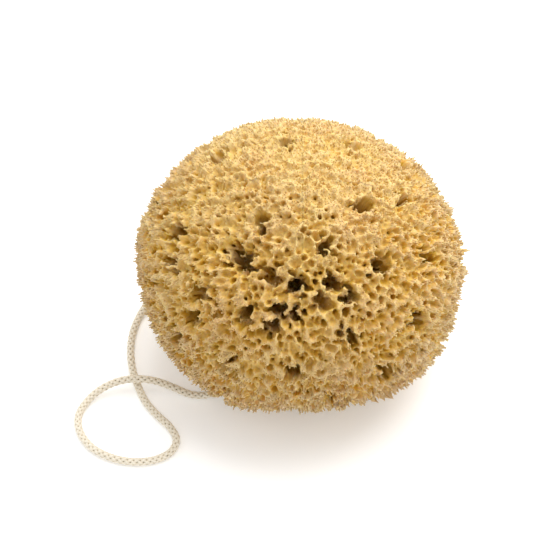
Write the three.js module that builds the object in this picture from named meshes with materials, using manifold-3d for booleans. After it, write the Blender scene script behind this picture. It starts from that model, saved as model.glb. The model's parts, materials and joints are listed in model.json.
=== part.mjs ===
// A natural bath sponge, cut flat where it grew on the rock, with a loop of white cotton cord
// threaded into its side. Millimetres, +Z up. The origin is the middle of the sponge's footprint
// on the surface it rests on, and its fullest face looks towards -Y.
import * as THREE from 'three';
import { mergeVertices } from 'three/addons/utils/BufferGeometryUtils.js';
import Module from 'manifold-3d';

const wasm = await Module();
wasm.setup();

// ---- Driving dimensions ----
const bodyHalfWidth = 61.8; // along X
const bodyHalfDepth = 59.6; // along Y
const bodyHalfHeight = 47.8; // along Z, before the root is cut off
const bodyCentreHeight = 44.5; // above the root cut
const growthCentreHeight = 33; // the pores run outwards from here
const skinDetail = 11; // rings of facets on each face of the starting icosahedron

const poreSides = 8;

const cordDiameter = 3.2;
const cordSocketPlay = 0.45; // round the cord where it goes into the sponge
const cordSides = 8;
const cordSteps = 78;

const degree = Math.PI / 180;

// Broad swellings and hollows of the body: the direction that each one faces, how much it adds to
// the body there as a share of its size, and how wide it is.
const swellings = [
  { faces: [0.64, -0.59, -0.49], adds: 0.08, spread: 30 },
  { faces: [-0.62, 0.6, 0.5], adds: 0.035, spread: 32 },
  { faces: [0.5, 0.66, 0.56], adds: -0.025, spread: 34 },
  { faces: [-1, 0.05, 0.05], adds: 0.025, spread: 28 },
  { faces: [-0.5, -0.66, -0.56], adds: 0.075, spread: 26 },
  { faces: [1, 0.05, 0.02], adds: 0.05, spread: 6 },
  { faces: [0.45, 0.85, -0.1], adds: 0.045, spread: 35 },
  { faces: [-0.35, 0.9, 0.1], adds: -0.03, spread: 30 },
  { faces: [-0.2, 0.35, 0.9], adds: 0.03, spread: 28 },
  { faces: [0.35, -0.15, 0.95], adds: 0.02, spread: 24 },
  { faces: [0.1, 0.76, 0.64], adds: 0.02, spread: 36 },
];

// The large pores that the face towards -Y shows: bearing is counted from -Y towards +X, rise is
// above the horizontal at the growth centre, both in degrees. Mouth radius and depth are in mm.
const facePores = [
  { bearing: -3, rise: 49, mouth: 1.5, depth: 26 },
  { bearing: -10, rise: 39, mouth: 1.5, depth: 24 },
  { bearing: -4, rise: 39, mouth: 1.5, depth: 22 },
  { bearing: 45, rise: 47, mouth: 2.1, depth: 24 },
  { bearing: 17, rise: 49, mouth: 1.3, depth: 16 },
  { bearing: 23, rise: 42, mouth: 1.6, depth: 14 },
  { bearing: 19, rise: 62, mouth: 1.2, depth: 14 },
  { bearing: -13, rise: 33, mouth: 1.6, depth: 17 },
  { bearing: -24, rise: 35, mouth: 1.6, depth: 17 },
  { bearing: -35, rise: 52, mouth: 2.1, depth: 18 },
  { bearing: -44, rise: 53, mouth: 1.5, depth: 18 },
  { bearing: -17, rise: 51, mouth: 2.2, depth: 10 },
  { bearing: 10, rise: 43, mouth: 1.9, depth: 10 },
  { bearing: -80, rise: 40, mouth: 1.5, depth: 14 },
  { bearing: -69, rise: 33, mouth: 1.7, depth: 14 },
  { bearing: -48, rise: 34, mouth: 1.4, depth: 12 },
  { bearing: -47, rise: 25, mouth: 1.4, depth: 12 },
  { bearing: -28, rise: 14, mouth: 1.3, depth: 12 },
  { bearing: -41, rise: 68, mouth: 1.3, depth: 12 },
];

// ---- Small helpers ----
const vector = (x, y, z) => new THREE.Vector3(x, y, z);

function fromBearing(bearing, rise) {
  const level = Math.cos(rise * degree);
  return vector(
    Math.sin(bearing * degree) * level,
    -Math.cos(bearing * degree) * level,
    Math.sin(rise * degree),
  );
}

// A closed three.js geometry as a solid that can be cut.
function toSolid(geometry) {
  const bare = geometry.index ? geometry.toNonIndexed() : geometry.clone();
  bare.deleteAttribute('normal');
  bare.deleteAttribute('uv');
  const merged = mergeVertices(bare, 1e-4);
  return new wasm.Manifold(
    new wasm.Mesh({
      numProp: 3,
      vertProperties: merged.attributes.position.array,
      triVerts: new Uint32Array(merged.index.array),
    }),
  );
}

function toGeometry(solid) {
  const { vertProperties, triVerts } = solid.getMesh();
  const geometry = new THREE.BufferGeometry();
  geometry.setAttribute('position', new THREE.BufferAttribute(vertProperties, 3));
  geometry.setIndex(new THREE.BufferAttribute(triVerts, 1));
  const faceted = geometry.toNonIndexed();
  faceted.computeVertexNormals();
  return faceted;
}

// ---- The sponge ----
// How far the body reaches in a direction, as a share of its plain egg shape.
function fullness(direction) {
  let share = 1;
  for (const { faces, adds, spread } of swellings) {
    const away = direction.angleTo(vector(...faces)) / (spread * degree);
    share += adds * Math.exp(-away * away);
  }
  // Low hummocks, about 20 mm across, where the skin is fuller between its pores.
  const { x, y, z } = direction;
  const hummocks = Math.sin(9.1 * x + 4.3 * z) * Math.sin(8.3 * y - 3.7 * x) +
    Math.sin(10.7 * z - 5.9 * y) * Math.sin(7.7 * x + 6.1 * y);
  return share + 0.008 * hummocks;
}

function bodySkin() {
  const skin = new THREE.IcosahedronGeometry(1, skinDetail);
  const place = skin.attributes.position;
  const direction = vector(0, 0, 0);
  for (let i = 0; i < place.count; i++) {
    direction.fromBufferAttribute(place, i).normalize();
    const share = fullness(direction);
    place.setXYZ(
      i,
      direction.x * bodyHalfWidth * share,
      direction.y * bodyHalfDepth * share,
      direction.z * bodyHalfHeight * share,
    );
  }
  return skin;
}

// The middle of the body's box stands over the origin, so the body's own centre is a little off it.
const skin = bodySkin();
skin.computeBoundingBox();
const bodyCentre = skin.boundingBox.getCenter(vector(0, 0, 0)).negate().setZ(bodyCentreHeight);
skin.translate(bodyCentre.x, bodyCentre.y, bodyCentre.z);
const growthCentre = vector(bodyCentre.x, bodyCentre.y, growthCentreHeight);

// Where a line out of the growth centre leaves the body, by halving the step until it is found.
function skinDistance(direction) {
  let near = 0;
  let far = 2 * bodyHalfWidth;
  for (let halving = 0; halving < 24; halving++) {
    const middle = (near + far) / 2;
    const scaled = direction.clone().multiplyScalar(middle).add(growthCentre).sub(bodyCentre)
      .divide(vector(bodyHalfWidth, bodyHalfDepth, bodyHalfHeight));
    const size = scaled.length();
    if (size < fullness(scaled.normalize())) near = middle;
    else far = middle;
  }
  return near;
}

// A pore: a tapering bore with a rounded end, wide at the skin, along a line from the growth centre.
function pore({ bearing, rise, mouth, depth }) {
  const direction = fromBearing(bearing, rise);
  const reach = skinDistance(direction);
  const beyond = 6; // how far the cutter stands out of the skin
  const profile = [
    [0, reach - depth],
    [0.45 * mouth, reach - depth + 0.7],
    [0.75 * mouth, reach - 0.5 * depth],
    [mouth, reach - 1.5],
    [1.3 * mouth, reach + beyond],
    [0, reach + beyond],
  ].map(([radius, along]) => new THREE.Vector2(radius, along));
  const cutter = new THREE.LatheGeometry(profile, poreSides);
  const turn = new THREE.Quaternion().setFromUnitVectors(vector(0, 1, 0), direction);
  cutter.applyQuaternion(turn);
  cutter.translate(growthCentre.x, growthCentre.y, growthCentre.z);
  return toSolid(cutter);
}

// Further pores, spread evenly round the body in golden-angle steps and clear of the face's own.
function scatteredPores() {
  const count = 48;
  const goldenAngle = 137.508;
  const clearOf = 13 * degree;
  const taken = facePores.map(({ bearing, rise }) => fromBearing(bearing, rise));
  const found = [];
  for (let i = 0; i < count; i++) {
    const rise = Math.asin(-0.3 + (1.28 * (i + 0.5)) / count) / degree;
    const bearing = (i * goldenAngle + 11 * Math.sin(i * 2.3)) % 360;
    const direction = fromBearing(bearing, rise);
    if (taken.some((other) => other.angleTo(direction) < clearOf)) continue;
    if (cordEnds.some((end) => end.clone().sub(growthCentre).angleTo(direction) < clearOf)) continue;
    const size = 0.5 + 0.5 * Math.sin(i * 1.7);
    found.push({ bearing, rise, mouth: 1.2 + size, depth: 10 + 9 * size });
  }
  return found;
}

// ---- The cord ----
// The middle of the cord: out of the sponge's left flank, down onto the surface, once round in a
// loop, over itself and back into the sponge nearer its front. The list is set by hand.
const lying = cordDiameter / 2;
const cordRoute = [
  [-36.5, 18.2, 19.5],
  [-41, 20, 15.5],
  [-48, 20.6, 12.6],
  [-55, 19, 8.2],
  [-60.5, 14.8, 4],
  [-64.6, 8.5, lying],
  [-67, 0, lying],
  [-67.6, -9, lying],
  [-66.4, -18.5, lying],
  [-63.8, -27, lying],
  [-60.4, -34.6, lying],
  [-55.6, -41, lying],
  [-50.6, -46.6, lying],
  [-48, -52.4, lying],
  [-49.8, -58, lying],
  [-56, -61.8, lying],
  [-64.5, -62.6, lying],
  [-73, -60.4, lying],
  [-80.2, -55.8, lying],
  [-84.8, -49, lying],
  [-86, -41.4, lying],
  [-83, -34.4, 1.9],
  [-77.4, -29.4, 3.4],
  [-70.6, -27, 5],
  [-64, -26.4, 5.6],
  [-57, -27, 5],
  [-50, -29, 3.6],
  [-43.4, -31.6, 2.6],
  [-37, -32.2, 3],
  [-31, -30.4, 5],
  [-25.4, -27, 8.4],
  [-20.6, -23.2, 12.4],
].map(([x, y, z]) => vector(x, y, z));
const cordEnds = [cordRoute[0], cordRoute[cordRoute.length - 1]];
const cordLine = new THREE.CatmullRomCurve3(cordRoute, false, 'centripetal');

function roundSection(radius, sides) {
  const section = new THREE.Shape();
  for (let i = 0; i < sides; i++) {
    const turn = (i / sides) * 2 * Math.PI;
    const x = radius * Math.cos(turn);
    const y = radius * Math.sin(turn);
    if (i === 0) section.moveTo(x, y);
    else section.lineTo(x, y);
  }
  section.closePath();
  return section;
}

function tubeAlong(line, radius, sides, steps) {
  return new THREE.ExtrudeGeometry(roundSection(radius, sides), {
    steps,
    bevelEnabled: false,
    extrudePath: line,
  });
}

// The bore that one end of the cord lies in: the same route, a little wider and a little longer.
function cordSocket(points) {
  const inner = points[0].clone().lerp(points[1], -cordSocketPlay / points[0].distanceTo(points[1]));
  const line = new THREE.CatmullRomCurve3([inner, ...points.slice(1)], false, 'centripetal');
  return toSolid(tubeAlong(line, cordDiameter / 2 + cordSocketPlay, 12, 14));
}

function spongeGeometry() {
  let sponge = toSolid(skin);
  const under = new THREE.BoxGeometry(200, 200, 100).translate(0, 0, -50);
  sponge = sponge.subtract(toSolid(under));
  for (const one of [...facePores, ...scatteredPores()]) sponge = sponge.subtract(pore(one));
  const outwards = 7; // route points that lie in the sponge or close outside it
  sponge = sponge.subtract(cordSocket(cordRoute.slice(0, outwards)));
  sponge = sponge.subtract(cordSocket(cordRoute.slice(-outwards).reverse()));
  return toGeometry(sponge);
}

// ---- The finished part ----
const spongin = new THREE.MeshStandardMaterial({ color: '#cfa868', roughness: 0.95, metalness: 0 });
const cotton = new THREE.MeshStandardMaterial({ color: '#e4dccb', roughness: 0.9, metalness: 0 });

const part = new THREE.Group();

const sponge = new THREE.Mesh(spongeGeometry(), spongin);
sponge.name = 'sponge';
part.add(sponge);

const cord = new THREE.Mesh(tubeAlong(cordLine, cordDiameter / 2, cordSides, cordSteps), cotton);
cord.name = 'cord_loop';
part.add(cord);

export default part;
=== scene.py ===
import itertools
import json
import math
import random
from functools import partial

import bmesh
import bpy
from bpy.props import FloatProperty, FloatVectorProperty, IntProperty, PointerProperty
from mathutils import Matrix, Vector

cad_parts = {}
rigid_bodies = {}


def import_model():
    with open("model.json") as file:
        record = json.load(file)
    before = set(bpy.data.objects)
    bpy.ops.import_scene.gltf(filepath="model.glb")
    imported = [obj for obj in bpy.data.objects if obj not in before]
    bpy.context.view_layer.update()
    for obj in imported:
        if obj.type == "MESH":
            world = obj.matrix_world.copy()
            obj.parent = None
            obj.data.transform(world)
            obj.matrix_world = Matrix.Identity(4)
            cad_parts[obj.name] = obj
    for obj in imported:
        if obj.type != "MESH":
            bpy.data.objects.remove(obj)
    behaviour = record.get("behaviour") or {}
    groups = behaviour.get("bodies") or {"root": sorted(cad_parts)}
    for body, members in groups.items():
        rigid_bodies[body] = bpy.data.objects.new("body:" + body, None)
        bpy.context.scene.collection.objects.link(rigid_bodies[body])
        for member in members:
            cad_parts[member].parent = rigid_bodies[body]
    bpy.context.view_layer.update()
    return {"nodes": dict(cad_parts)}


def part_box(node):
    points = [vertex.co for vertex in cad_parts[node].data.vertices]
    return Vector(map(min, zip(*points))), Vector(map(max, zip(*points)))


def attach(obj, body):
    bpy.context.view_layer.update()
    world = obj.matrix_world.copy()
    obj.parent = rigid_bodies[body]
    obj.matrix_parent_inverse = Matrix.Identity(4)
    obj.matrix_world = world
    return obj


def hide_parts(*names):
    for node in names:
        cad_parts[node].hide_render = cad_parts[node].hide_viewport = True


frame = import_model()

bl_info = {
    "name": "Natural Bath Sponge",
    "version": (1, 0, 0),
    "blender": (4, 5, 0),
    "location": "3D View > Sidebar > Sponge",
    "description": "A natural bath sponge, grown inside its frame, with a braided cotton cord",
    "category": "Add Mesh",
}

# ---- The frame ----
SPONGE_LOW, SPONGE_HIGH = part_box("sponge")
MM = 0.001

# The node kinds that the trees below use most.
MATH = "ShaderNodeMath"
VECTOR = "ShaderNodeVectorMath"
RANGE = "ShaderNodeMapRange"
NOISE = "ShaderNodeTexNoise"
CELLS = "ShaderNodeTexVoronoi"
CHANCE = "FunctionNodeRandomValue"
ATTRIBUTE = "ShaderNodeAttribute"

# Depths under the skin, in mm, between which one colour of the sponge turns into the next. The
# deeper ochres are partly the spongin's own colour and partly painted shade, and the near black of
# the large pores is painted shade.
CREST_TO_WALL = (1.5, 6.0)
WALL_TO_PIT = (6.0, 12.0)
PIT_TO_PORE_SHADE = (16.0, 21.0)

TUFT_SHAPES = 12


def linear(code):
    """The linear colour, with alpha, of an sRGB hex value."""
    shares = [int(code[start : start + 2], 16) / 255 for start in (0, 2, 4)]
    bent = [s / 12.92 if s <= 0.04045 else ((s + 0.055) / 1.055) ** 2.4 for s in shares]
    return (*bent, 1.0)


def colour(name, description, code):
    """A colour property that starts from an sRGB hex value."""
    return FloatVectorProperty(
        name=name,
        description=description,
        default=linear(code),
        size=4,
        min=0,
        max=1,
        subtype="COLOR",
    )


def length(name, description, millimetres):
    """A length property that starts from a size in millimetres."""
    return FloatProperty(
        name=name,
        description=description,
        default=millimetres * MM,
        min=0,
        unit="LENGTH",
        precision=5,
    )


# ---- What a user would change ----
class SpongeSettings(bpy.types.PropertyGroup):
    """The sponge: how its skeleton grows, how its surface is tufted, and its colours."""

    growth_height: length("Growth height", "Height of the point that the pores run out from", 33)
    pit_pitch: length("Pit pitch", "From the middle of one pit to the next at the skin", 2.35)
    crest: length("Crest", "Thickness of the walls between the pits at the skin", 0.75)
    close_crest: length("Close crest", "Thickness of those walls where the skin is closest", 1.5)
    root_wall: length("Root wall", "Thickness of the walls where the pits close", 3.0)
    shallow: length("Shallowest pit", "Depth at which the shallowest pits close", 2.5)
    deep: length("Deepest pit", "Depth at which the deepest pits close", 5.6)
    proud: length("Proud", "How far the longest tufts stand out of the frame's skin", 0.9)
    saddle: length("Saddle", "How far a wall is worn down between two tufts", 3.6)
    ragged: length("Raggedness", "How far whole crests are worn back from the skin", 1.0)
    nub_pitch: length("Nub pitch", "From one nub on the crests to the next", 1.4)
    nub_height: length("Nub height", "How far the crests are notched between the nubs", 2.0)
    voxel: length("Voxel", "Grid step that the skeleton is grown on", 0.54)
    block_triangles: IntProperty(
        name="Triangles in a block",
        description="Triangles that each eighth of the skeleton keeps",
        default=90000,
    )

    tuft_pitch: length("Tuft pitch", "Least distance between the roots of two tufts", 1.0)
    tuft_width: length("Tuft width", "Thickness of a tuft at its root", 0.65)
    tuft_length: length("Tuft length", "How far the longest tufts stand out of their crest", 1.7)
    seed: IntProperty(name="Seed", description="Start of every random draw", default=4)

    crest_colour: colour("Crests", "Dry spongin at the crests and tips", "debf80")
    # The walls and the pits are a deeper ochre: partly the spongin's own colour, partly painted
    # shade.
    wall_colour: colour("Walls", "Spongin on the walls of the pits", "dab044")
    pit_colour: colour("Pits", "Unbleached spongin deep in the pits", "e4ae08")
    # Painted shade: near black at the ends of the large pores.
    painted_pore_shade: colour("Pores", "Dark spongin at the ends of the large pores", "2a1c06")
    blush_colour: colour("Blush", "Pinker patches", "d8ae86")
    drab_colour: colour("Drab", "Duller, paler flanks", "cab898")


class CordSettings(bpy.types.PropertyGroup):
    """The cord: its size and braid, and its colours."""

    diameter: length("Diameter", "Diameter of the cord over its braid", 3.2)
    braid_pitch: length("Braid pitch", "Length of cord in which a strand goes once round", 8.4)
    cotton_colour: colour("Cotton", "Undyed cotton on top of the strands", "f3ead8")
    # Painted shade: the cotton is drawn darker down in the creases of the braid.
    painted_crease_shade: colour("Creases", "Cotton down in the creases of the braid", "d6c7a8")


class StageSettings(bpy.types.PropertyGroup):
    """The camera, the floor and the light."""

    elevation: FloatProperty(
        name="Elevation",
        description="Angle of the camera above the horizon",
        default=math.radians(50),
        subtype="ANGLE",
    )
    distance: length("Distance", "From the camera to the middle of the sponge", 850)
    aim_height: length("Aim height", "Height that the camera looks at", 42)
    lens: FloatProperty(
        name="Lens",
        description="Focal length",
        default=145.7,
        subtype="DISTANCE_CAMERA",
    )
    shift: FloatVectorProperty(
        name="Shift",
        description="How far the view is moved to the side and up, as a share of its width",
        default=(-0.05, -0.0164),
        size=2,
        precision=4,
    )
    softbox_power: FloatProperty(
        name="Softbox power",
        description="Power of the softbox above and behind the sponge, in watts",
        default=10.2,
        min=0,
    )
    softbox_size: length("Softbox size", "Side of the softbox", 1000)
    surround: FloatProperty(
        name="Surround",
        description="Strength of the white light from all round",
        default=0.82,
        min=0,
    )
    floor_glow: FloatProperty(
        name="Floor glow",
        description="Strength of the light from inside the floor, as on a lit table",
        default=0.2,
        min=0,
    )
    floor_colour: colour("Floor", "White studio floor", "fbfbfb")


# ---- Shared helpers ----
def add(tree, kind, *values, named=None, output=0, **settings):
    """Adds a node, sets it up and links it; gives back one output, or the node for None."""
    node = tree.nodes.new(kind)
    for name, value in settings.items():
        setattr(node, name, value)
    for key, value in [*enumerate(values), *(named or {}).items()]:
        if isinstance(value, bpy.types.NodeSocket):
            tree.links.new(value, node.inputs[key])
        else:
            node.inputs[key].default_value = value
    return node if output is None else node.outputs[output]


def new_tree(name, takes_geometry):
    """An empty Geometry Nodes tree that gives back geometry."""
    tree = bpy.data.node_groups.new(name, "GeometryNodeTree")
    if takes_geometry:
        tree.interface.new_socket("Geometry", in_out="INPUT", socket_type="NodeSocketGeometry")
    tree.interface.new_socket("Geometry", in_out="OUTPUT", socket_type="NodeSocketGeometry")
    return tree


def new_object(name, mesh=None):
    """A mesh object at the origin, in the scene."""
    piece = bpy.data.objects.new(name, mesh or bpy.data.meshes.new(name))
    bpy.context.scene.collection.objects.link(piece)
    return piece


def mesh_from(bm, name):
    """Turns a finished bmesh into a smooth mesh and frees it."""
    mesh = bpy.data.meshes.new(name)
    for face in bm.faces:
        face.smooth = True
    bm.to_mesh(mesh)
    bm.free()
    return mesh


def apply_modifiers(piece):
    """Makes what the modifiers give the object's own mesh."""
    graph = bpy.context.evaluated_depsgraph_get()
    mesh = bpy.data.meshes.new_from_object(piece.evaluated_get(graph))
    mesh.name = piece.name
    piece.modifiers.clear()
    piece.data = mesh
    return mesh


def grow(piece, tree):
    """Runs a Geometry Nodes tree on an object and keeps its result."""
    piece.modifiers.new(tree.name, "NODES").node_group = tree
    return apply_modifiers(piece)


def finish_piece(piece, material):
    """Gives a finished piece its material and its body."""
    piece.data.materials.clear()
    piece.data.materials.append(material)
    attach(piece, "root")


def new_material(name, roughness, ior):
    """A material with one Principled shader, and that shader."""
    material = bpy.data.materials.new(name)
    material.use_nodes = True
    shader = material.node_tree.nodes["Principled BSDF"]
    shader.inputs["Roughness"].default_value = roughness
    shader.inputs["IOR"].default_value = ior
    return material, shader


def blend(tree, factor, first, second, blend_type="MIX"):
    """Adds a node that mixes two colours; gives back its colour output."""
    colours = {6: first, 7: second}  # the node's two colour sockets
    return add(tree, "ShaderNodeMix", named={"Factor": factor, **colours}, output=2,
               data_type="RGBA", blend_type=blend_type)


# ---- Materials ----
def spongin(name, sponge, loose):
    """Natural sponge, the spongin skeleton of a sea animal, beaten clean and dried in the sun.

    Its fibres are fine, matt and a little translucent, so the crests are pale and dusty, and
    light that goes from wall to wall in the pits turns a deep ochre. The colour itself turns a
    deeper ochre with depth, partly the spongin's own colour and partly painted shade, and near
    black, as painted shade, in the large pores.
    """
    material, shader = new_material(name, roughness=0.88, ior=1.54)
    tree = material.node_tree
    node = partial(add, tree)
    mix = partial(blend, tree)
    place = node("ShaderNodeTexCoord", output="Object")
    reach = node(VECTOR, place, (0, 0, sponge.growth_height), operation="SUBTRACT")
    across = node(VECTOR, reach, operation="NORMALIZE")

    # The flanks are duller than the top, and there are pinker patches, about 20 mm across.
    bleached_side = (0, -0.3, 0.95)
    drab = node(VECTOR, across, bleached_side, output="Value", operation="DOT_PRODUCT")
    drab = node(RANGE, drab, 0.2, 0.75, 0.7, 0.0)
    patches = node(NOISE, named={"Vector": place, "Scale": 1 / (22 * MM), "Detail": 2.0,
                                 "W": 3.0}, noise_dimensions="4D")
    blush = node(RANGE, patches, 0.44, 0.68, 0.0, 0.3)
    tint = mix(drab, sponge.crest_colour, sponge.drab_colour)
    tint = mix(blush, tint, sponge.blush_colour)

    if loose:
        # From the root of each tuft, which is a little ochre and partly painted shade where it
        # meets its crest, to its dry, paler tip.
        tip = node(ATTRIBUTE, attribute_name="tip", output="Fac")
        tint = mix(node(RANGE, tip, 0.15, 0.8, 0.35, 0.1), tint, sponge.wall_colour)
    else:
        # Deeper under the hull the crest colour turns to the wall, pit and pore colours: partly
        # the spongin's own ochre and partly painted shade, near black in the large pores.
        depth = node(ATTRIBUTE, attribute_name="depth", output="Fac")
        for (start, end), deeper in (
            (CREST_TO_WALL, sponge.wall_colour),
            (WALL_TO_PIT, sponge.pit_colour),
            (PIT_TO_PORE_SHADE, sponge.painted_pore_shade),
        ):
            tint = mix(node(RANGE, depth, start, end, 0.0, 1.0), tint, deeper)

    # The felted fibres, 0.03 mm thick in a real sponge, are drawn as flutes 0.8 mm apart that run
    # the way that the sponge grew: the pattern hardly changes along a line from the growth point.
    far = node(VECTOR, reach, output="Value", operation="LENGTH")
    drawn = node(MATH, far, 0.12, 50 * MM, operation="MULTIPLY_ADD")
    across = node(VECTOR, across, named={"Scale": drawn}, operation="SCALE")
    felt = node(NOISE, named={"Vector": across, "Scale": 1 / (0.8 * MM), "Detail": 2.0})
    relief = 0.2 if loose else 0.5
    bump = node("ShaderNodeBump", named={"Height": felt, "Strength": relief,
                                         "Distance": 0.8 * MM})
    tree.links.new(bump, shader.inputs["Normal"])
    streak = node(RANGE, felt, 0.3, 0.65, 0.88, 1.03)
    tint = mix(1.0, tint, streak, blend_type="MULTIPLY")
    tree.links.new(tint, shader.inputs["Base Color"])
    # Felt hardly shines.
    shader.inputs["Specular IOR Level"].default_value = 0.15
    if not loose:
        # Light goes a short way through the walls, and red and yellow go furthest.
        shader.inputs["Subsurface Weight"].default_value = 0.6
        shader.inputs["Subsurface Radius"].default_value = (1.0, 0.85, 0.35)
        shader.inputs["Subsurface Scale"].default_value = 1.6 * MM
    return material


def cotton(cord):
    """Cotton yarn, spun loose, braided and left undyed.

    It is matt, soft and slightly hairy; the creases of its braid are painted darker, as painted
    shade.
    """
    material, shader = new_material("braided cotton cord", roughness=0.85, ior=1.53)
    tree = material.node_tree
    node = partial(add, tree)
    # Painted shade, from the creases of the braid to the raised tops of its strands.
    raised = node(ATTRIBUTE, attribute_name="raised", output="Fac")
    tint = blend(tree, raised, cord.painted_crease_shade, cord.cotton_colour)
    tree.links.new(tint, shader.inputs["Base Color"])
    # The hairs of real yarn are about 0.02 mm thick. They are drawn 0.25 mm apart, to show.
    place = node("ShaderNodeTexCoord", output="Object")
    hairs = node(NOISE, named={"Vector": place, "Scale": 1 / (0.25 * MM), "Detail": 2.0})
    bump = node("ShaderNodeBump", named={"Height": hairs, "Strength": 0.5, "Distance": 0.2 * MM})
    tree.links.new(bump, shader.inputs["Normal"])
    shader.inputs["Sheen Weight"].default_value = 0.3
    return material


# ---- The stage ----
class SPONGE_OT_stage(bpy.types.Operator):
    """Makes the camera, a plain white floor and soft studio light"""

    bl_idname = "sponge.stage"
    bl_label = "Stage"

    def execute(self, context):
        scene = context.scene
        stage = scene.sponge_stage
        aim = Vector((0, 0, stage.aim_height))
        looks = Vector((0, math.cos(stage.elevation), -math.sin(stage.elevation)))
        lens = bpy.data.cameras.new("camera")
        lens.lens = stage.lens
        lens.sensor_width = 36
        lens.shift_x, lens.shift_y = stage.shift
        camera = bpy.data.objects.new("camera", lens)
        scene.collection.objects.link(camera)
        camera.location = aim - looks * stage.distance
        camera.rotation_euler = looks.to_track_quat("-Z", "Y").to_euler()
        scene.camera = camera

        bm = bmesh.new()
        bmesh.ops.create_grid(bm, x_segments=1, y_segments=1, size=3)
        floor = new_object("floor", mesh_from(bm, "floor"))
        material, shader = new_material("white painted board", roughness=0.9, ior=1.5)
        # Matt and white. It glows a little, which keeps the shadows on it faint.
        shader.inputs["Base Color"].default_value = stage.floor_colour
        shader.inputs["Emission Color"].default_value = stage.floor_colour
        shader.inputs["Emission Strength"].default_value = stage.floor_glow
        floor.data.materials.append(material)

        world = bpy.data.worlds.new("studio")
        world.use_nodes = True
        background = world.node_tree.nodes["Background"]
        background.inputs["Color"].default_value = (1, 1, 1, 1)
        background.inputs["Strength"].default_value = stage.surround
        scene.world = world
        # A large softbox above and behind, and a little to the right.
        softbox = bpy.data.lights.new("softbox", "AREA")
        softbox.energy = stage.softbox_power
        softbox.size = stage.softbox_size
        lamp = bpy.data.objects.new("softbox", softbox)
        scene.collection.objects.link(lamp)
        lamp.location = (0.25, 0.35, 0.85)
        lamp.rotation_euler = (aim - lamp.location).to_track_quat("-Z", "Y").to_euler()
        scene.view_settings.view_transform = "Standard"
        return {"FINISHED"}


# ---- The cord ----
# The middle of the cord, in millimetres: out of the sponge's left flank, down onto the surface,
# once round in a loop, over itself and back into the sponge nearer its front.
CORD_ROUTE = [
    (-36.5, 18.2, 19.5),
    (-41, 20, 15.5),
    (-48, 20.6, 12.6),
    (-55, 19, 8.2),
    (-60.5, 14.8, 4),
    (-64.6, 8.5, 1.6),
    (-67, 0, 1.6),
    (-67.6, -9, 1.6),
    (-66.4, -18.5, 1.6),
    (-63.8, -27, 1.6),
    (-60.4, -34.6, 1.6),
    (-55.6, -41, 1.6),
    (-50.6, -46.6, 1.6),
    (-48, -52.4, 1.6),
    (-49.8, -58, 1.6),
    (-56, -61.8, 1.6),
    (-64.5, -62.6, 1.6),
    (-73, -60.4, 1.6),
    (-80.2, -55.8, 1.6),
    (-84.8, -49, 1.6),
    (-86, -41.4, 1.6),
    (-83, -34.4, 1.9),
    (-77.4, -29.4, 3.4),
    (-70.6, -27, 5),
    (-64, -26.4, 5.6),
    (-57, -27, 5),
    (-50, -29, 3.6),
    (-43.4, -31.6, 2.6),
    (-37, -32.2, 3),
    (-31, -30.4, 5),
    (-25.4, -27, 8.4),
    (-20.6, -23.2, 12.4),
]


def curve_through(points, step):
    """Points a step apart on the centripetal Catmull-Rom curve through the given ones."""
    parts = 64  # of each span between two points
    ends = [2 * points[0] - points[1], *points, 2 * points[-1] - points[-2]]
    fine = []
    for p0, p1, p2, p3 in zip(ends, ends[1:], ends[2:], ends[3:]):
        t1 = (p1 - p0).length ** 0.5
        t2 = t1 + (p2 - p1).length ** 0.5
        t3 = t2 + (p3 - p2).length ** 0.5
        for i in range(parts):
            t = t1 + (t2 - t1) * i / parts
            a1 = p0.lerp(p1, t / t1)
            a2 = p1.lerp(p2, (t - t1) / (t2 - t1))
            a3 = p2.lerp(p3, (t - t2) / (t3 - t2))
            b1 = a1.lerp(a2, t / t2)
            b2 = a2.lerp(a3, (t - t1) / (t3 - t1))
            fine.append(b1.lerp(b2, (t - t1) / (t2 - t1)))
    fine.append(points[-1].copy())
    spaced = [fine[0]]
    for point in fine:
        if (point - spaced[-1]).length >= step:
            spaced.append(point)
    return spaced


def frames_along(path):
    """A turned and placed frame at each point of a path, Z along it, with no added twist."""
    frames = []
    side = Vector((0, 0, 1))
    for i, point in enumerate(path):
        ahead = (path[min(i + 1, len(path) - 1)] - path[max(i - 1, 0)]).normalized()
        side = (side - ahead * side.dot(ahead)).normalized()
        frames.append(Matrix((side, ahead.cross(side), ahead)).transposed().to_4x4())
        frames[-1].translation = point
    return frames


def sweep(bm, sides, frames):
    """Rolls a grid into an open tube whose rings lie in the frames; gives back its rings.

    The first and the last side of each ring lie on each other, to be welded.
    """
    made = bmesh.ops.create_grid(bm, x_segments=len(frames) - 1, y_segments=sides, size=1)
    rings = {}
    for vert in made["verts"]:
        i = round((vert.co.x + 1) / 2 * (len(frames) - 1))
        turn = (vert.co.y + 1) / 2 * math.tau
        vert.co = frames[i] @ Vector((math.cos(turn), math.sin(turn), 0))
        rings.setdefault(i, []).append(vert)
    return rings


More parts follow.
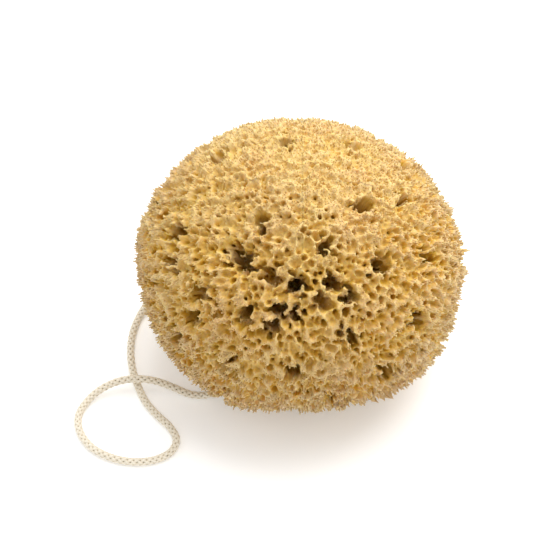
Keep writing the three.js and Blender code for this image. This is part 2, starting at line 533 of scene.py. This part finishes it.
class SPONGE_OT_cord(bpy.types.Operator):
    """Braids the cotton cord along its route"""

    bl_idname = "sponge.cord"
    bl_label = "Cotton Cord"

    def execute(self, context):
        cord = context.scene.sponge_cord
        step = 0.35 * MM
        weld = 0.002 * MM
        yarn_sides = 6
        strands_each_way = 4
        yarn_width = 0.36 * cord.diameter  # flattened where it lies on its neighbours
        yarn_thickness = 0.25 * cord.diameter
        weave = 0.055 * cord.diameter  # how far a strand goes in and out
        middle = cord.diameter / 2 - weave - yarn_thickness / 2
        # Shares of the cord's radius: where the creases end, and from there to the raised yarn,
        # which set the painted shade in the creases.
        crease, rise = 0.62, 0.33

        path = curve_through([Vector(point) * MM for point in CORD_ROUTE], step)
        frames = frames_along(path)
        bm = bmesh.new()
        raised = bm.verts.layers.float.new("raised")
        for way in (1, -1):
            for strand in range(strands_each_way):
                rings_at = []
                for i, frame_here in enumerate(frames):
                    turn = way * math.tau * i * step / cord.braid_pitch
                    turn += strand * math.tau / strands_each_way
                    out = middle + way * weave * math.cos(strands_each_way * turn)
                    lie = math.atan(math.tau * middle / cord.braid_pitch) * way
                    rings_at.append(
                        frame_here
                        @ Matrix.Rotation(turn, 4, "Z")
                        @ Matrix.Translation((out, 0, 0))
                        @ Matrix.Rotation(-lie, 4, "X")
                        @ Matrix.Diagonal((yarn_thickness / 2, yarn_width / 2, 1, 1))
                    )
                for i, verts in sweep(bm, yarn_sides, rings_at).items():
                    for vert in verts:
                        reach = (vert.co - path[i]).length / (cord.diameter / 2)
                        vert[raised] = min(1, max(0, (reach - crease) / rise))
        bmesh.ops.remove_doubles(bm, verts=bm.verts, dist=weld)
        bmesh.ops.holes_fill(bm, edges=bm.edges, sides=yarn_sides)
        bmesh.ops.recalc_face_normals(bm, faces=bm.faces)
        braid = new_object("braided_cord", mesh_from(bm, "braided_cord"))
        finish_piece(braid, cotton(cord))
        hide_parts("cord_loop")
        return {"FINISHED"}


# ---- The skeleton ----
def frame_skins():
    """Two copies of the frame's sponge, both open at the root cut: its skin, and its hull."""
    weld = 0.001 * MM
    flat = 0.02 * MM  # nothing of the root cut is higher
    bm = bmesh.new()
    bm.from_mesh(frame["nodes"]["sponge"].data)
    bmesh.ops.remove_doubles(bm, verts=bm.verts, dist=weld)
    skins = []
    for name in ("pored_skin", "hull"):
        if name == "hull":
            bmesh.ops.convex_hull(bm, input=bm.verts)
            inner = [vert for vert in bm.verts if not vert.link_faces]
            bmesh.ops.delete(bm, geom=inner, context="VERTS")
        skin = bm.copy()
        cut = [face for face in skin.faces if max(v.co.z for v in face.verts) < flat]
        bmesh.ops.delete(skin, geom=cut, context="FACES")
        skins.append(new_object(name, mesh_from(skin, name)))
    bm.free()
    return skins


def gap_to(tree, shell):
    """Two fields: how many mm a point is from a shell, and the shell's point nearest to it."""
    nearest = add(tree, "GeometryNodeProximity", shell, output=None, target_element="FACES")
    gap = add(tree, MATH, nearest.outputs["Distance"], 1 / MM, operation="MULTIPLY")
    return gap, nearest.outputs["Position"]


def depths_under(tree, skin, hull):
    """Two fields: how many mm a point lies under a skin and under its hull.

    Both are less than nothing where the point is outside the skin.
    """
    node = partial(add, tree)
    place = node("GeometryNodeInputPosition")
    skin, hull = (node("GeometryNodeObjectInfo", item, output="Geometry") for item in (skin, hull))
    normal = node("GeometryNodeInputNormal")
    normal = node("GeometryNodeSampleNearestSurface", named={"Mesh": skin, "Value": normal},
                  data_type="FLOAT_VECTOR")
    from_skin, nearest = gap_to(tree, skin)
    off = node(VECTOR, nearest, place, operation="SUBTRACT")
    inside = node(VECTOR, off, normal, output="Value", operation="DOT_PRODUCT")
    inside = node(MATH, inside, operation="SIGN")
    from_hull, _ = gap_to(tree, hull)
    return (node(MATH, gap, inside, operation="MULTIPLY") for gap in (from_skin, from_hull))


def closeness(tree, place, ray):
    """A field from 0 to 1: how closely the skin is matted.

    It is closest on top, towards the back, and in patches about 16 mm across.
    """
    closest = (0, 0.4, 0.92)
    close = add(tree, VECTOR, ray, closest, output="Value", operation="DOT_PRODUCT")
    close = add(tree, RANGE, close, 0.5, 0.9, 0.0, 0.75)
    patchy = add(tree, NOISE, named={"Vector": place, "Scale": 1 / (16 * MM), "Detail": 1.0})
    patchy = add(tree, RANGE, patchy, 0.45, 0.75, 0.0, 0.4)
    return add(tree, MATH, close, patchy, operation="ADD", use_clamp=True)


def growth_grain(tree, place, reach, ray):
    """A field of places, in mm, pressed together along the lines from the growth point.

    A cell of any pattern made in it comes out four times as deep as it is wide, a little bent.
    """
    node = partial(add, tree)
    along = 0.25  # share of a step along a line that is left
    offset = 41  # mm added to that share, so that a cell keeps its width near the skin
    sway = 5.0  # mm that the bends move the places
    far = node(VECTOR, reach, output="Value", operation="LENGTH")
    drawn = node(MATH, far, along / MM, offset, operation="MULTIPLY_ADD")
    drawn = node(VECTOR, ray, named={"Scale": drawn}, operation="SCALE")
    bend = node(NOISE, named={"Vector": place, "Scale": 1 / (12 * MM), "Detail": 2.0}, output=1)
    bend = node(VECTOR, bend, (0.5, 0.5, 0.5), operation="SUBTRACT")
    bend = node(VECTOR, bend, named={"Scale": sway}, operation="SCALE")
    return node(VECTOR, drawn, bend, operation="ADD")


def sweep_crumbs(tree, mesh):
    """Deletes the crumbs that hang on nothing."""
    crumb = 150  # vertices
    island = add(tree, "GeometryNodeInputMeshIsland", output="Island Index")
    size = add(tree, "GeometryNodeAccumulateField", named={"Value": 1, "Group ID": island},
               output="Total", data_type="INT", domain="POINT")
    is_crumb = add(tree, MATH, size, crumb, operation="LESS_THAN")
    return add(tree, "GeometryNodeDeleteGeometry", mesh, is_crumb, domain="POINT")


def mark_shade_depth(tree, mesh, hull_depth, height, ray):
    """Stores how deep each point of the skeleton counts for its colour, and so for its painted
    shade, in mm.
    """
    node = partial(add, tree)
    depth = node(MATH, hull_depth, operation="ABSOLUTE")
    # The sides of a pit count as deeper than a crest at the same depth, which paints shade on the
    # sides of the pits.
    normal = node("GeometryNodeInputNormal")
    facing = node(VECTOR, ray, normal, output="Value", operation="DOT_PRODUCT")
    side_shade = node(RANGE, facing, 0.1, 0.8, 1.0, 0.0)
    most = 2.4  # mm that a side counts as deeper
    extra = node(RANGE, depth, 0.6, 2.4, 0.0, most)
    side_shade = node(MATH, side_shade, extra, operation="MULTIPLY")
    depth = node(MATH, depth, side_shade, operation="ADD")
    # The root cut keeps the pale colour of the crests, with no painted shade, though the hull is
    # open there.
    from_cut = node(MATH, height, 2.0, operation="ADD")
    depth = node(MATH, depth, from_cut, operation="MINIMUM")
    return node("GeometryNodeStoreNamedAttribute", mesh,
                named={"Name": "depth", "Value": depth}, data_type="FLOAT", domain="POINT")


def skeleton_tree(skin, hull, low, high, sponge):
    """Grows what lies between two corners of the skeleton, a block of pits that run outwards.

    All its fields are in millimetres, and the field "solid" is more than nothing in the walls.
    """
    tree = new_tree("grow skeleton", takes_geometry=False)
    node = partial(add, tree)
    place = node("GeometryNodeInputPosition")
    height = node("ShaderNodeSeparateXYZ", place, output="Z")
    height = node(MATH, height, 1 / MM, operation="MULTIPLY")
    reach = node(VECTOR, place, (0, 0, sponge.growth_height), operation="SUBTRACT")
    ray = node(VECTOR, reach, operation="NORMALIZE")
    grain = growth_grain(tree, place, reach, ray)

    # The pits: how far each point is from the wall and from the middle of its own pit.
    pitch = sponge.pit_pitch / MM
    scatter = 0.95  # of the pits, where 0 is a square grid
    pits = {"Vector": grain, "Scale": 1 / pitch, "Randomness": scatter}
    edge = node(CELLS, named=pits, output="Distance", feature="DISTANCE_TO_EDGE")
    edge = node(MATH, edge, pitch, operation="MULTIPLY")
    pit = node(CELLS, named=pits, output=None, feature="F1")
    lot = node("FunctionNodeSeparateColor", pit.outputs["Color"])

    close = closeness(tree, place, ray)
    crest = node(RANGE, close, 0.0, 1.0, sponge.crest / MM / 2, sponge.close_crest / MM / 2)

    # Crests worn back from the skin: least where three pits meet, more from there to the middle of
    # a wall, and a little between one nub and the next, so that they end in nubbed tufts.
    broad_pitch = 8.0
    broad = node(NOISE, named={"Vector": grain, "Scale": 1 / broad_pitch, "Detail": 2.0})
    broad = node(RANGE, broad, 0.3, 0.7, 0.0, 1.0)
    nubs = node(CELLS, named={"Vector": grain, "Scale": 1 / (sponge.nub_pitch / MM)},
                output="Distance")
    # In pitches from a pit's middle: 0.42 is the middle of a wall, 0.76 is where three pits meet.
    saddle = node(RANGE, pit.outputs["Distance"], 0.42, 0.76, 1.0, 0.0)
    saddle = node(MATH, saddle, sponge.saddle / MM, operation="MULTIPLY")
    worn = node(MATH, nubs, sponge.nub_height / MM, saddle, operation="MULTIPLY_ADD")
    matted_wear = 0.55  # share of the wear where the skin is closest
    matted = node(RANGE, close, 0.0, 1.0, 1.0, matted_wear)
    worn = node(MATH, worn, matted, operation="MULTIPLY")
    worn = node(MATH, broad, sponge.ragged / MM, worn, operation="MULTIPLY_ADD")
    skin_depth, hull_depth = depths_under(tree, skin, hull)
    below = node(MATH, hull_depth, sponge.proud / MM, operation="ADD")
    below = node(MATH, below, worn, operation="SUBTRACT")

    # Walls between the pits, thin at the crests and the root cut, thick where the pit closes.
    # Where the skin is closest, the shallowest pits are only dimples.
    dimple = 1.2
    shallowest = node(RANGE, close, 0.0, 1.0, sponge.shallow / MM, dimple)
    closes = node(RANGE, lot, 0.0, 1.0, shallowest, sponge.deep / MM)
    from_air = node(MATH, below, height, operation="MINIMUM")
    share = node(MATH, from_air, closes, operation="DIVIDE")
    share = node(MATH, share, 0.0, operation="MAXIMUM")
    flare = 1.5  # above 1, most of the thickening is near the pit's end
    share = node(MATH, share, flare, operation="POWER")
    thickness = node(RANGE, share, 0.0, 1.0, crest, sponge.root_wall / MM / 2)
    walls = node(MATH, thickness, edge, operation="SUBTRACT")

    # The large pores, as the frame has them but a little narrower and with uneven walls: the
    # noise is about one half, so a wall comes out 0.2 mm into the pore, and up to 0.6 mm off that.
    uneven = node(NOISE, named={"Vector": place, "Scale": 1 / (4 * MM), "Detail": 2.0})
    uneven = node(MATH, uneven, 1.2, -0.4, operation="MULTIPLY_ADD")
    pored = node(MATH, skin_depth, uneven, operation="ADD")
    # Each keeps a tube of its own, almost up to the skin, so that no pit opens into it.
    tube_middle = 0.7  # from the pore to the middle of the tube's wall
    short = 0.9  # from the tube's mouth to the skin
    tube = node(MATH, pored, tube_middle, operation="SUBTRACT")
    tube = node(MATH, tube, operation="ABSOLUTE")
    tube = node(MATH, tube_middle, tube, operation="SUBTRACT")
    from_skin = node(MATH, hull_depth, skin_depth, operation="SUBTRACT")
    for limit in (from_skin, hull_depth):
        limit = node(MATH, limit, short, operation="SUBTRACT")
        tube = node(MATH, tube, limit, operation="MINIMUM")

    # Lumps 1.7 mm apart, up to 0.4 mm in or out.
    rough = node(NOISE, named={"Vector": place, "Scale": 1 / (1.7 * MM), "Detail": 1.0})
    rough = node(MATH, rough, 0.8, -0.4, operation="MULTIPLY_ADD")
    solid = node(MATH, walls, below, operation="MINIMUM")
    solid = node(MATH, solid, pored, operation="MINIMUM")
    solid = node(MATH, solid, tube, operation="MAXIMUM")
    solid = node(MATH, solid, rough, operation="ADD")
    solid = node(MATH, solid, height, operation="MINIMUM")

    # The density is one half where the field is nothing.
    density = node(MATH, solid, 0.5, 0.5, operation="MULTIPLY_ADD")
    counts = {
        f"Resolution {axis}": round((high[i] - low[i]) / sponge.voxel)
        for i, axis in enumerate("XYZ")
    }
    volume = node("GeometryNodeVolumeCube", density, named={"Min": low, "Max": high, **counts})
    mesh = node("GeometryNodeVolumeToMesh", volume, named={"Threshold": 0.5},
                resolution_mode="GRID")
    mesh = sweep_crumbs(tree, mesh)
    mesh = mark_shade_depth(tree, mesh, hull_depth, height, ray)
    mesh = node("GeometryNodeSetShadeSmooth", mesh)
    node("NodeGroupOutput", mesh, output=None)
    return tree


def blocks(voxel):
    """The name and the lowest and highest corners of each eighth of the sponge's box.

    The eighths meet on the same grid, and leave a rim of three voxels round the sponge.
    """
    rim = Vector((1, 1, 1)) * 3 * voxel
    low = SPONGE_LOW - rim
    middle = Vector((0, 0, (SPONGE_LOW.z + SPONGE_HIGH.z) / 2))
    high = SPONGE_HIGH + rim
    stops = [[round(c / voxel) * voxel for c in corner] for corner in (low, middle, high)]
    for corner in itertools.product((0, 1), repeat=3):
        side, end, level = corner
        name = f"{('left', 'right')[side]}_{('front', 'back')[end]}_{('lower', 'upper')[level]}"
        yield (
            name,
            Vector(stops[half][axis] for axis, half in enumerate(corner)),
            Vector(stops[half + 1][axis] for axis, half in enumerate(corner)),
        )


class SPONGE_OT_skeleton(bpy.types.Operator):
    """Grows the sponge's skeleton in eight blocks, with its pits and pores, inside the frame"""

    bl_idname = "sponge.skeleton"
    bl_label = "Sponge Skeleton"

    def execute(self, context):
        sponge = context.scene.sponge
        skins = frame_skins()
        material = spongin("natural spongin, dried", sponge, loose=False)
        for name, low, high in blocks(sponge.voxel):
            block = new_object(f"skeleton_{name}")
            mesh = grow(block, skeleton_tree(*skins, low, high, sponge))
            triangles = sum(len(face.vertices) - 2 for face in mesh.polygons)
            if not triangles:
                raise RuntimeError(f"{block.name} came out empty")
            thin = block.modifiers.new("thin", "DECIMATE")
            thin.ratio = min(1, sponge.block_triangles / triangles)
            apply_modifiers(block)
            finish_piece(block, material)
            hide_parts("sponge")
        for skin in skins:
            bpy.data.objects.remove(skin)
        return {"FINISHED"}


# ---- The tufts ----
def tuft_mesh(name, draw):
    """A blunt, slightly bent finger of felted fibres, one unit tall, with its height marked."""
    root_radius, shoulder_radius = 0.5, 0.42
    bm = bmesh.new()
    shoulder = draw.uniform(0.78, 0.88)
    bmesh.ops.create_cone(bm, cap_ends=True, segments=4, radius1=root_radius,
                          radius2=shoulder_radius, depth=shoulder)
    bmesh.ops.translate(bm, verts=bm.verts, vec=(0, 0, shoulder / 2))
    top = [face for face in bm.faces if face.normal.z > 0.9]
    bmesh.ops.poke(bm, faces=top, offset=1 - shoulder, center_mode="MEAN")
    bend = Vector((draw.uniform(-0.5, 0.5), draw.uniform(-0.5, 0.5), 0))
    tip = bm.verts.layers.float.new("tip")
    for vert in bm.verts:
        vert.co += bend * vert.co.z ** 2
        vert[tip] = vert.co.z
    return mesh_from(bm, name)


def tuft_tree(shapes, sponge):
    """Sets tufts close together on the skeleton's crests, along the lines that they grew on."""
    tree = new_tree("set tufts", takes_geometry=True)
    node = partial(add, tree)
    skeleton = node("NodeGroupInput")
    place = node("GeometryNodeInputPosition")
    depth = node("GeometryNodeInputNamedAttribute", "depth", data_type="FLOAT")
    height = node("ShaderNodeSeparateXYZ", place, output="Z")
    centre = (0, 0, sponge.growth_height)
    ray = node(VECTOR, place, centre, operation="SUBTRACT")
    ray = node(VECTOR, ray, operation="NORMALIZE")
    normal = node("GeometryNodeInputNormal")
    facing = node(VECTOR, ray, normal, output="Value", operation="DOT_PRODUCT")

    # Tufts stand where the skeleton is shallow, faces out and is clear of the root cut.
    deepest_crest = 2.8  # in mm, as the depth is
    crests = node(MATH, depth, deepest_crest, operation="LESS_THAN")
    faces_out = node(MATH, facing, 0.2, operation="GREATER_THAN")
    crests = node(MATH, crests, faces_out, operation="MULTIPLY")
    off_the_cut = node(MATH, height, 2 * MM, operation="GREATER_THAN")
    crests = node(MATH, crests, off_the_cut, operation="MULTIPLY")
    tries = 5e6  # spots tried per square metre, more than find room
    spots = node("GeometryNodeDistributePointsOnFaces", skeleton, named={
        "Selection": crests, "Distance Min": sponge.tuft_pitch, "Density Max": tries,
        "Seed": sponge.seed}, output=None, distribute_method="POISSON")

    # Neighbours lean together in clumps, about 4 mm across, and each strays a little from them.
    lean = 1.4
    most_stray = Vector((0.15, 0.15, 0.15))
    clump = node(NOISE, named={"Vector": place, "Scale": 1 / (4 * MM), "Detail": 1.0}, output=1)
    clump = node(VECTOR, clump, (0.5, 0.5, 0.5), operation="SUBTRACT")
    clump = node(VECTOR, clump, named={"Scale": lean}, operation="SCALE")
    stray = node(CHANCE, -most_stray, most_stray, named={"Seed": sponge.seed + 1},
                 data_type="FLOAT_VECTOR")
    aim = node(VECTOR, node(VECTOR, ray, clump, operation="ADD"), stray, operation="ADD")
    aim = node(VECTOR, aim, operation="NORMALIZE")
    turn = node("FunctionNodeAlignRotationToVector", named={"Vector": aim}, axis="Z")
    spin = node(CHANCE, named={2: 0.0, 3: math.tau, "Seed": sponge.seed + 2}, output=1,
                data_type="FLOAT")
    spin = node("FunctionNodeAxisAngleToRotation", named={"Axis": (0, 0, 1), "Angle": spin})
    turn = node("FunctionNodeRotateRotation", turn, spin, rotation_space="LOCAL")

    # A tuft is rooted below its crest. It has 0.35 to 1 times the full length, half as much where
    # the skin is closest, and 0.7 to 1.1 times the full width.
    sunk = 0.6 * MM
    up = node(CHANCE, named={2: 0.35, 3: 1.0, "Seed": sponge.seed + 3}, output=1,
              data_type="FLOAT")
    matted = node(RANGE, closeness(tree, place, ray), 0.0, 1.0, 1.0, 0.5)
    up = node(MATH, up, matted, operation="MULTIPLY")
    up = node(MATH, up, sponge.tuft_length, sunk, operation="MULTIPLY_ADD")
    wide = node(CHANCE, named={2: 0.7, 3: 1.1, "Seed": sponge.seed + 4}, output=1,
                data_type="FLOAT")
    wide = node(MATH, wide, sponge.tuft_width, operation="MULTIPLY")
    size = node("ShaderNodeCombineXYZ", wide, wide, up)
    foot = node(VECTOR, aim, named={"Scale": -sunk}, operation="SCALE")
    points = node("GeometryNodeSetPosition", spots.outputs["Points"], named={"Offset": foot})
    shapes = node("GeometryNodeCollectionInfo", shapes, named={
        "Separate Children": True, "Reset Children": True})
    tufts = node("GeometryNodeInstanceOnPoints", points, named={
        "Instance": shapes, "Pick Instance": True, "Rotation": turn, "Scale": size})
    tufts = node("GeometryNodeRealizeInstances", tufts)
    node("NodeGroupOutput", tufts, output=None)
    return tree


class SPONGE_OT_tufts(bpy.types.Operator):
    """Sets the tufts of felted fibres that the skeleton's crests end in"""

    bl_idname = "sponge.tufts"
    bl_label = "Sponge Tufts"

    def execute(self, context):
        sponge = context.scene.sponge
        draw = random.Random(sponge.seed)
        shapes = bpy.data.collections.new("tuft shapes")
        context.scene.collection.children.link(shapes)
        for i in range(TUFT_SHAPES):
            mesh = tuft_mesh(f"tuft_{i}", draw)
            shapes.objects.link(bpy.data.objects.new(mesh.name, mesh))
        tree = tuft_tree(shapes, sponge)
        material = spongin("natural spongin, felted tufts", sponge, loose=True)
        for name, *_ in blocks(sponge.voxel):
            roots = bpy.data.objects[f"skeleton_{name}"].data.copy()
            tufts = new_object(f"tufts_{name}", roots)
            grow(tufts, tree)
            finish_piece(tufts, material)
        for shape in list(shapes.objects):
            bpy.data.objects.remove(shape)
        bpy.data.collections.remove(shapes)
        return {"FINISHED"}


# ---- The panel ----
class SPONGE_PT_panel(bpy.types.Panel):
    """Lists the steps in the order that they are made in"""

    bl_idname = "SPONGE_PT_panel"
    bl_label = "Natural Bath Sponge"
    bl_space_type = "VIEW_3D"
    bl_region_type = "UI"
    bl_category = "Sponge"

    def draw(self, context):
        for step in STEPS:
            self.layout.operator(step.bl_idname, text=step.bl_label)
        for group in GROUPS:
            settings = getattr(context.scene, group)
            box = self.layout.box()
            for name in settings.__annotations__:
                box.prop(settings, name)


STEPS = (SPONGE_OT_stage, SPONGE_OT_cord, SPONGE_OT_skeleton, SPONGE_OT_tufts)
GROUPS = {"sponge": SpongeSettings, "sponge_cord": CordSettings, "sponge_stage": StageSettings}


def register():
    for cls in (*GROUPS.values(), *STEPS, SPONGE_PT_panel):
        bpy.utils.register_class(cls)
    for name, group in GROUPS.items():
        setattr(bpy.types.Scene, name, PointerProperty(type=group))


def unregister():
    for name in GROUPS:
        delattr(bpy.types.Scene, name)
    for cls in (SPONGE_PT_panel, *reversed(STEPS), *GROUPS.values()):
        bpy.utils.unregister_class(cls)


def main():
    """Makes every piece in order."""
    register()
    bpy.ops.sponge.stage()
    bpy.ops.sponge.cord()
    bpy.ops.sponge.skeleton()
    bpy.ops.sponge.tufts()


if __name__ == "__main__":
    main()
